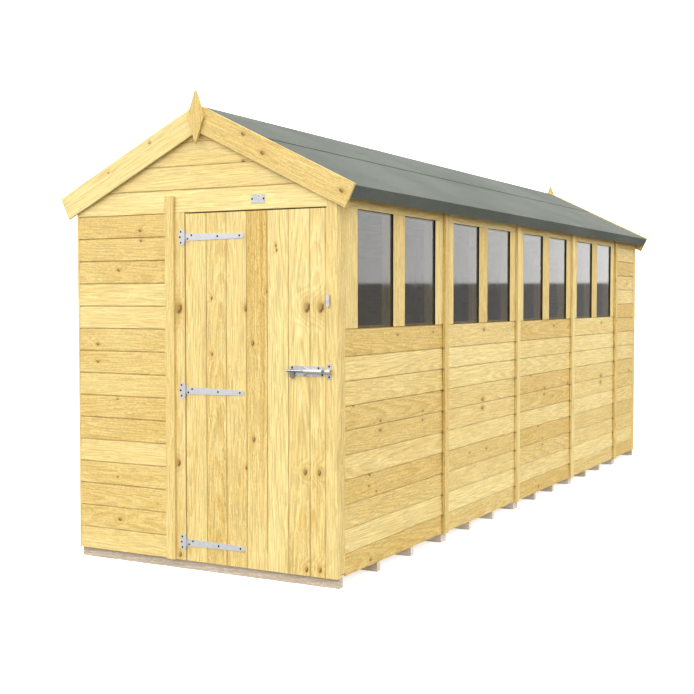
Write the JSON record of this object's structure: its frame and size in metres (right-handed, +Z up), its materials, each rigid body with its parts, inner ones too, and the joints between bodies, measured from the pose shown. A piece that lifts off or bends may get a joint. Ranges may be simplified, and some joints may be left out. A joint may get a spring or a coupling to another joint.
{
  "type": "wooden garden shed",
  "caption": "Long apex garden shed of lapped boards with a row of side windows, a ledged door on tee hinges, a felt roof, barge boards and finials.",
  "frame": {"origin": "on the ground under the middle of the shed", "axes": "+Z up, -Y towards the door, +X to the right of someone facing the door; the length runs along Y"},
  "size_m": [1.7872, 5.534, 2.4258],
  "materials": {
    "pine_boards": "planed pale pine with knots",
    "framing_timber": "sawn softwood",
    "floor_board": "planed softwood boards",
    "sawn_bearer": "sawn treated softwood",
    "roof_board": "strand board",
    "mineral_felt": "grey-green mineral roofing felt",
    "galvanised_steel": "galvanised",
    "window_glass": "clear sheet"
  },
  "bodies": {
    "shed": {"back_cladding": "pine_boards", "back_gable": "pine_boards", "back_rails": "framing_timber", "back_studs": "framing_timber", "bare_plate": "galvanised_steel", "bolt_keeper": "galvanised_steel", "button_screw": "galvanised_steel", "corner_strips": "pine_boards", "eave_battens": "framing_timber", "end_cover_strips": "pine_boards", "finials": "pine_boards", "floor_bearers": "sawn_bearer", "floor_deck": "floor_board", "front_cladding": "pine_boards", "front_gable": "pine_boards", "front_rails": "framing_timber", "front_studs": "framing_timber", "gable_posts": "framing_timber", "gable_rafters": "framing_timber", "hinge_plates": "galvanised_steel", "hinge_post": "pine_boards", "left_barge_boards": "pine_boards", "left_cladding": "pine_boards", "left_cover_strips": "pine_boards", "left_rails": "framing_timber", "left_roof_boards": "roof_board", "left_roof_felt": "mineral_felt", "left_studs": "framing_timber", "lock_post": "pine_boards", "ridge_felt": "mineral_felt", "right_barge_boards": "pine_boards", "right_cladding": "pine_boards", "right_cover_strips": "pine_boards", "right_rails": "framing_timber", "right_roof_boards": "roof_board", "right_roof_felt": "mineral_felt", "right_studs": "framing_timber", "roof_purlins": "framing_timber", "window_beads": "pine_boards", "window_heads": "pine_boards", "window_jambs": "pine_boards", "window_panes": "window_glass"},
    "door": {"door_boards": "pine_boards", "door_ledges": "framing_timber", "door_braces": "framing_timber", "hinge_straps": "galvanised_steel", "bolt_plate": "galvanised_steel"},
    "bolt": {"sliding_bolt": "galvanised_steel"},
    "button": {"turn_button": "galvanised_steel"}
  },
  "joints": [
    {"name": "door_swing", "type": "hinge", "parent": "shed", "child": "door", "pos_m": [-0.0875, -2.7445, 1], "axis": [0, 0, -1], "range_deg": [0, 165]},
    {"name": "bolt_slide", "type": "slide", "parent": "door", "child": "bolt", "axis": [1, 0, 0], "range_m": [0, 0.036]},
    {"name": "button_turn", "type": "hinge", "parent": "shed", "child": "button", "pos_m": [0.744, -2.7465, 1.377], "axis": [0, 1, 0], "range_deg": [0, 90]}
  ]
}
